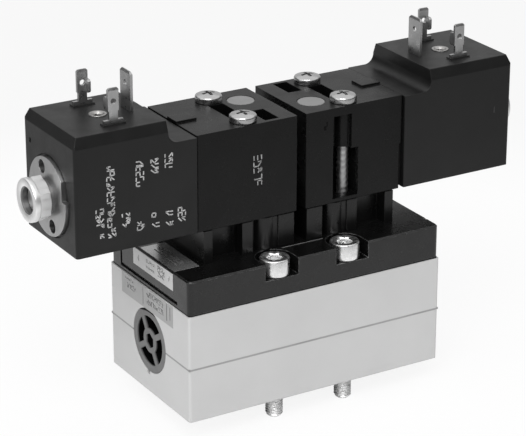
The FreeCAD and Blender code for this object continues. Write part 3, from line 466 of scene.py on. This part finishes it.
def pilot_screws(side, sign):
    top = PILOT_TOP + 2.5
    head_radius = 3.85
    crown = 10.5
    thread_low, thread_high = 44.4, 67.6

    def dome(radius):
        return top - crown + math.sqrt(crown ** 2 - radius ** 2)

    rows = [(AXIS, thread_high), (1.98, thread_high), (2.0, PILOT_TOP), (head_radius - 0.15, PILOT_TOP),
            (head_radius, PILOT_TOP + 0.15), (head_radius, PILOT_TOP + 1.3), (head_radius - 0.05, PILOT_TOP + 1.55),
            (head_radius - 0.2, PILOT_TOP + 1.8)]
    rows += [(radius, dome) for radius in (3.35, 3.0, 2.6, 2.2)]
    rows += [(cross_radius(2.0, 0.5), dome), (cross_radius(1.8, 0.4), top - 1.3), (AXIS, top - 1.6)]
    shape = Shape()
    threads = Shape()
    for y in (-9.5, 9.5):
        centre = (sign * 16.2, y)
        shape.lathe(centre, rows, segments=72)
        threads.thread(centre, thread_low, thread_high, major=1.72, minor=1.5, pitch=1.8, bevel=0.6)
    obj = shape.done("pilot_screws_" + side + "_detailed", "pan_steel", "body")
    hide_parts("pilot_screws_" + side)
    threads.done("pilot_screw_threads_" + side, "thread_steel", "body", smooth_angle=60.0)


# Coil nuts: chamfered hexagon over a narrow neck, with a turned nose that is countersunk


def coil_nut(side, sign):
    """The nut is turned about an upright axis, then laid along X with its nose outwards."""
    seat, hexagon_low, hexagon_high, nose_end = 71.2, 72.5, 75.7, 77.4
    neck, nose_radius, countersink, stud_space = 5.0, 6.15, 3.9, 3.2
    hexagon = hexagon_radius(11.2, turn=30.0)
    rows_of = {
        "coil_nut_": ("nut_steel", [
            (nose_radius - 0.2, hexagon_high), (nose_radius, hexagon_high + 0.2), (nose_radius, nose_end - 0.6),
            (nose_radius - 0.05, nose_end - 0.3), (nose_radius - 0.2, nose_end - 0.1), (5.7, nose_end),
            (4.5, nose_end), (countersink, nose_end - 0.3)]),
        "coil_nut_hexagon_": ("hexagon_steel", [
            (neck, hexagon_low), (neck + 0.6, hexagon_low), (hexagon, hexagon_low + 0.3), (hexagon, hexagon_high),
            (nose_radius - 0.2, hexagon_high)]),
        "coil_nut_bore_": ("bore_steel", [
            (countersink, nose_end - 0.3), (3.5, nose_end - 0.6), (3.4, 74.4), (stud_space, 74.4),
            (stud_space, seat), (neck, seat), (neck, hexagon_low)]),
    }
    for name, (material, rows) in rows_of.items():
        upright = Shape()
        upright.lathe((0.0, 0.0), rows, segments=96, closed=False)
        shape = Shape()
        shape.add([(sign * z, -sign * y, ARMATURE_Z + x) for x, y, z in upright.points], upright.faces)
        obj = shape.done(name + side + "_detailed", material, "body", smooth_angle=28.0)
        if name == "coil_nut_":
            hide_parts("coil_nut_" + side)


# Springs: working copies, each with a mesh of its own, in place of the CAD springs


def spring(side, name, axis, fixed_end):
    """A working copy of a spring along X (axis 0) or Z (axis 2), with the place of its fixed end in millimetres."""
    source = frame["nodes"][name + side]
    obj = bpy.data.objects.new(name + side + "_working", source.data.copy())
    bpy.context.scene.collection.objects.link(obj)
    obj.matrix_world = source.matrix_world.copy()
    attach(obj, "body")
    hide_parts(name + side)
    direction, anchor = [0.0] * 3, [0.0] * 3
    direction[axis] = 1.0
    anchor[axis] = fixed_end * MM
    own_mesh(obj)


mounting_screws()
for side, sign in (("left", -1), ("right", 1)):
    pilot_screws(side, sign)
    coil_nut(side, sign)
    spring(side, "override_spring_", axis=2, fixed_end=69.4)
    spring(side, "plunger_spring_", axis=0, fixed_end=sign * 27.1)


# Labels and printed marks: plain bars and unreadable strokes in the places of the lettering; with them the
# adapter's webs, and pieces of painted shade, painted shadow and painted highlight


def on_front(y, out=-1):
    """Places on a wall across Y that looks towards -Y, or towards +Y, as (x, z, height above the wall)."""
    return lambda u, v, lift: (u, y + out * lift, v)


def on_end(x, out=-1):
    """Places on a wall across X that looks towards -X, or towards +X, as (y, z, height above the wall)."""
    return lambda u, v, lift: (x + out * lift, u, v)


def on_top(z):
    """Places on a face that looks up, as (x, y, height above the face)."""
    return lambda u, v, lift: (u, v, z + lift)


def label(name, wall, u_range, v_range, lift, material):
    """A thin plain sheet on a wall."""
    (u0, u1), (v0, v1) = u_range, v_range
    middle = (u0 + u1) / 2
    shape = Shape()
    shape.stroke(wall, (middle, v0), (middle, v1), u1 - u0, lift)
    shape.done(name, material, "body")


def scribble(shape, rng, wall, place, width, height, turned, bar):
    """One unreadable mark of a few strokes in the place of a printed character."""
    corners = [(0, 0), (1, 0), (0, 0.5), (1, 0.5), (0, 1), (1, 1)]
    links = [(0, 2), (2, 4), (1, 3), (3, 5), (0, 1), (4, 5), (2, 3), (0, 3), (2, 5), (1, 2)]
    stray = 0.06
    for first, second in rng.sample(links, rng.choice((3, 4))):
        ends = []
        for share_u, share_v in (corners[first], corners[second]):
            u = share_u * width + rng.uniform(-stray, stray)
            v = share_v * height + rng.uniform(-stray, stray)
            ends.append((place[0] - v, place[1] + u) if turned else (place[0] + u, place[1] + v))
        shape.stroke(wall, ends[0], ends[1], bar)


def line_up(shape, rng, wall, x, z0, z1, height=2.2, pitch=1.45, bar=0.36):
    """Marks in a line that runs up a wall, with a gap here and there."""
    z = z0
    while z < z1 - pitch / 2:
        if rng.random() > 0.07:
            scribble(shape, rng, wall, (x + height / 2, z), pitch * 0.72, height, True, bar)
        z += pitch


def line_along(shape, rng, wall, y0, y1, z, height=1.2, bar=0.24):
    """Marks in a line that runs along the left end wall, towards the front, one in each millimetre."""
    y = y0
    while y > y1:
        scribble(shape, rng, wall, (y - 0.7, z), 0.7, height, False, bar)
        y -= 1.0


def end_labels():
    rng = random.Random(11)
    thickness = 0.05
    label("housing_end_label", on_end(HOUSING_END), (-14.0, 16.0), (25.1, 31.4), thickness, "label_grey")
    marks = Shape()
    raised = on_end(HOUSING_END - thickness)
    for y, z0, z1, width in ((3.3, 25.8, 31.2, 0.22), (-10.5, 26.1, 31.2, 0.4), (-12.4, 26.9, 30.8, 0.3)):
        marks.stroke(raised, (y, z0), (y, z1), width)
    line_along(marks, rng, raised, 12.6, 7.6, 27.7, height=1.3)
    line_along(marks, rng, raised, 13.8, 9.0, 30.0, height=0.7, bar=0.12)
    for z in (29.2, 26.9):
        line_along(marks, rng, raised, 1.2, -8.6, z, height=1.5, bar=0.2)
    marks.done("housing_label_marks", "label_mark_and_highlight", "body")
    thickness = 0.08
    label("cover_end_label", on_end(COVER_END), (-13.8, 9.2), (36.2, 41.2), thickness, "label_white")
    marks = Shape()
    raised = on_end(COVER_END - thickness)
    line_along(marks, rng, raised, 6.6, 5.6, 38.0, height=1.8, bar=0.2)
    for z in (39.3, 37.6):
        line_along(marks, rng, raised, 1.5, -3.0, z, height=0.8, bar=0.1)
        line_along(marks, rng, raised, -5.2, -9.2, z, height=1.3, bar=0.2)
    line_along(marks, rng, raised, -11.2, -12.0, 38.2, height=1.6, bar=0.2)
    marks.done("cover_label_marks", "label_mark_and_highlight", "body")


def paint_joint_edge_shade():
    """A band of painted shade along the soft edges of the joint between the housings, round all four walls but for
    the bore at each end.
    """
    low, high = [[value / MM for value in corner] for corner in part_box("lower_housing")]
    bore = BORE_RADIUS + 0.1
    walls = [(on_front(low[1]), low[0], high[0]), (on_front(high[1], 1), low[0], high[0])]
    for wall in (on_end(low[0]), on_end(high[0], 1)):
        walls += [(wall, low[1], -bore), (wall, bore, high[1])]
    shape = Shape()
    for wall, start, end in walls:
        shape.stroke(wall, (start, JOINT_Z), (end, JOINT_Z), 0.55, 0.005)
    shape.done("housing_joint_painted_shade", "joint_edge_painted_shade", "body")


def paint_bore_edge_shadow():
    """A dark crescent sheet of painted shadow, cast by the bore's edge over the left cap, widest at its middle."""
    steps, widest = 12, 0.75
    outer = BORE_RADIUS + 0.05
    wall = on_end(HOUSING_END)
    points = []
    for k in range(steps + 1):
        turn = math.radians(-36.0 + 5.0 * k)
        inner = BORE_RADIUS - widest * math.sin(math.pi * k / steps) ** 0.7
        for radius, lift in ((inner, -0.08), (outer, -0.08), (outer, 0.02), (inner, 0.02)):
            points.append(wall(-radius * math.sin(turn), JOINT_Z + radius * math.cos(turn), lift))
    faces = [(4 * k + j, 4 * k + (j + 1) % 4, 4 * k + 4 + (j + 1) % 4, 4 * k + 4 + j)
             for k in range(steps) for j in range(4)]
    shape = Shape()
    shape.add(points, faces)
    shape.done("bore_edge_shadow_left", "print_and_shadow_dark", "body")


def adapter_details():
    """Webs that carry the adapter's bosses over into the ribs beside them, and a thin light stroke at its foot that
    paints a highlight along the foot's edge.
    """
    boss_y, rib_y = 10.0, 13.15
    shape = Shape()
    for turn in (1, -1):
        for web in ((-10.3, -7.1), (12.3, 15.5)):
            x0, x1 = sorted(turn * x for x in web)
            y0, y1 = sorted((-turn * rib_y, -turn * boss_y))
            shape.box((x0, y0, COVER_TOP), (x1, y1, ADAPTER_TOP - 0.1))
    shape.done("adapter_webs", "adapter_plastic", "body")
    shape = Shape()
    # Painted highlight: a thin light stroke along the adapter's foot
    shape.stroke(on_top(COVER_TOP), (-6.6, -14.3), (6.9, -14.3), 0.16, 0.1)
    shape.done("adapter_foot_highlight", "label_mark_and_highlight", "body")


def top_label():
    rng = random.Random(5)
    thickness = 0.06
    label("cover_top_label", on_top(COVER_TOP), (-40.4, -32.6), (-13.8, 6.0), thickness, "label_silver")
    marks = Shape()
    raised = on_top(COVER_TOP + thickness)
    marks.stroke(raised, (-37.6, -10.6), (-37.6, 3.0), 0.35)
    for step in range(9):
        scribble(marks, rng, raised, (-36.6, -10.0 + step * 1.5), 1.6, 1.1, False, 0.28)
    marks.done("top_label_marks", "label_mark_and_highlight", "body")


def prints():
    """Lines of marks on the left coil and block."""
    rng = random.Random(4)
    shape = Shape()
    columns = [(-63.1, 56.8, 65.3), (-59.7, 56.6, 76.7), (-55.4, 57.1, 62.8), (-51.0, 69.4, 76.4),
               (-51.0, 56.8, 60.0), (-46.5, 72.2, 76.4), (-46.5, 56.8, 61.6), (-42.3, 73.0, 76.7),
               (-42.3, 56.4, 60.5), (-38.5, 56.8, 61.7)]
    for x, z0, z1 in columns:
        line_up(shape, rng, on_front(COIL_FRONT), x, z0, z1)
    shape.done("coil_print_left", "print_ink", "body")
    shape = Shape()
    line_up(shape, rng, on_front(PILOT_FRONT), -14.1, 61.9, 71.2, height=2.4, pitch=1.85, bar=0.34)
    shape.done("block_print_left", "print_faint", "body")


def small_marks():
    """Single small marks: on the right coil and block, and at the corner of the left coil's end."""
    groups = (
        ("coil_mark_right", "print_dim", "coil_plastic", on_front(COIL_FRONT),
         [((64.6, 69.2), (64.6, 71.0), 0.4)]),
        ("block_mark_right", "print_and_shadow_dark", "block_plastic", on_front(PILOT_FRONT),
         [((7.6, 73.9), (7.6, 75.1), 0.7), ((8.2, 74.8), (8.2, 76.3), 0.3)]),
        ("coil_end_mark", "print_and_shadow_dark", "coil_plastic", on_end(COIL_END),
         [((11.0, 77.0), (12.0, 78.2), 0.5), ((12.0, 77.0), (11.0, 78.2), 0.5)]),
    )
    for name, material, slot, wall, bars in groups:
        shape = Shape()
        for start, end, width in bars:
            shape.stroke(wall, start, end, width)
        shape.done(name, material, "body")


end_labels()
paint_joint_edge_shade()
paint_bore_edge_shadow()
adapter_details()
top_label()
prints()
small_marks()


# Floor, light and camera

# What gloss sees, as shares of white: a dim room, and a backdrop on the side behind the object
DIM_ROOM = 0.12
BACKDROP = 0.56
BACKDROP_SIDE = (0.515, 0.857, 0.0)

# Strength of the even light from all round
EVEN_LIGHT = 0.62


def background_shade(tree):
    """An even light, white to the camera. Gloss sees a white ceiling and backdrop and a dim room."""
    tree.nodes.clear()
    g = Graph(tree)
    path = g.add("ShaderNodeLightPath").outputs
    place = g.add("ShaderNodeTexCoord").outputs["Generated"]
    parts = g.add("ShaderNodeSeparateXYZ")
    g.link(place, parts.inputs[0])
    toward = g.vector("DOT_PRODUCT", place, BACKDROP_SIDE)
    ceiling = g.ranged(parts.outputs["Z"], 0.32, 0.66, smooth=True)
    backdrop = g.ranged(toward.outputs["Value"], 0.55, 0.85, 0.0, BACKDROP, smooth=True)
    level = g.ranged(g.maths("MAXIMUM", ceiling, backdrop), 0.0, 1.0, DIM_ROOM, 1.0, smooth=True)
    shades = []
    for strength in (EVEN_LIGHT, level, 1.0):
        shade = g.add("ShaderNodeBackground", Color=(1, 1, 1, 1))
        g.link(strength, shade.inputs["Strength"])
        shades.append(shade.outputs[0])
    even, reflected, white = shades
    mirrored = g.maths("MAXIMUM", path["Is Glossy Ray"], path["Is Transmission Ray"])
    whole = g.mixed(path["Is Camera Ray"], g.mixed(mirrored, even, reflected), white)
    g.link(whole, g.add("ShaderNodeOutputWorld").inputs["Surface"])


def area_light(name, place, size, watts):
    """A soft square lamp that looks at the object's middle."""
    data = bpy.data.lights.new(name, "AREA")
    data.shape = "SQUARE"
    data.size = size
    data.energy = watts
    obj = bpy.data.objects.new(name, data)
    obj.location = place
    middle = Vector((0.0, 0.0, 0.045))
    obj.rotation_euler = (middle - Vector(place)).to_track_quat("-Z", "Y").to_euler()
    bpy.context.scene.collection.objects.link(obj)
    obj.visible_camera = False


def make_floor():
    """A plain pale floor, nearly white to the camera. Gloss sees it darker away from the object."""
    size, z = 3.0, FLOOR_Z * MM
    mesh = bpy.data.meshes.new("floor")
    mesh.from_pydata([(-size, -size, z), (size, -size, z), (size, size, z), (-size, size, z)], [], [(0, 1, 2, 3)])
    obj = bpy.data.objects.new("floor", mesh)
    bpy.context.scene.collection.objects.link(obj)
    g = Surface("floor_pale")
    outward = g.ranged(g.vector("LENGTH", g.place).outputs["Value"], 0.165, 0.245)
    pale = g.blended(g.noise(6.0), grey(0.86), grey(0.89))
    g.link(g.blended(outward, pale, grey(0.52)), g.shader.inputs["Base Color"])
    g.shader.inputs["Roughness"].default_value = 0.8
    g.shader.inputs["Specular IOR Level"].default_value = 0.2
    path = g.add("ShaderNodeLightPath").outputs
    seen = g.maths("MAXIMUM", path["Is Camera Ray"], path["Is Transmission Ray"])
    white = g.add("ShaderNodeEmission", Strength=1.0)
    whole = g.mixed(g.maths("MULTIPLY", seen, 0.88), g.shader.outputs[0], white.outputs[0])
    g.link(whole, g.nodes["Material Output"].inputs["Surface"])
    mesh.materials.append(g.material)


def make_camera():
    """The photograph's own viewpoint, solved from the object's edges."""
    yaw, pitch, roll = [math.radians(angle) for angle in (31.16, 21.72, 0.18)]
    target = Vector((0.034, 0.004, 48.11))
    distance = 657.44
    focal_pixels, width_pixels = 2314.18, 526
    back = Vector((-math.sin(yaw) * math.cos(pitch), -math.cos(yaw) * math.cos(pitch), math.sin(pitch)))
    right = Vector((math.cos(yaw), -math.sin(yaw), 0.0))
    up = back.cross(right)
    rolled_right = right * math.cos(roll) + up * math.sin(roll)
    rolled_up = up * math.cos(roll) - right * math.sin(roll)
    place = (target + back * distance) * MM
    data = bpy.data.cameras.new("camera")
    data.sensor_fit = "HORIZONTAL"
    data.sensor_width = 36.0
    data.lens = focal_pixels / width_pixels * data.sensor_width
    data.shift_x = -12.6 / width_pixels
    data.shift_y = -11.87 / width_pixels
    data.clip_start = 0.05
    obj = bpy.data.objects.new("camera", data)
    columns = Matrix((rolled_right, rolled_up, back)).transposed()
    obj.matrix_world = Matrix.Translation(place) @ columns.to_4x4()
    bpy.context.scene.collection.objects.link(obj)
    bpy.context.scene.camera = obj


scene = bpy.context.scene
scene.view_settings.view_transform = "Standard"
world = scene.world or bpy.data.worlds.new("world")
scene.world = world
world.use_nodes = True
background_shade(world.node_tree)
make_floor()
area_light("key", (-0.55, -0.75, 1.1), size=0.9, watts=13.1)
area_light("side", (-1.1, -0.1, 0.55), size=0.8, watts=2.5)
make_camera()
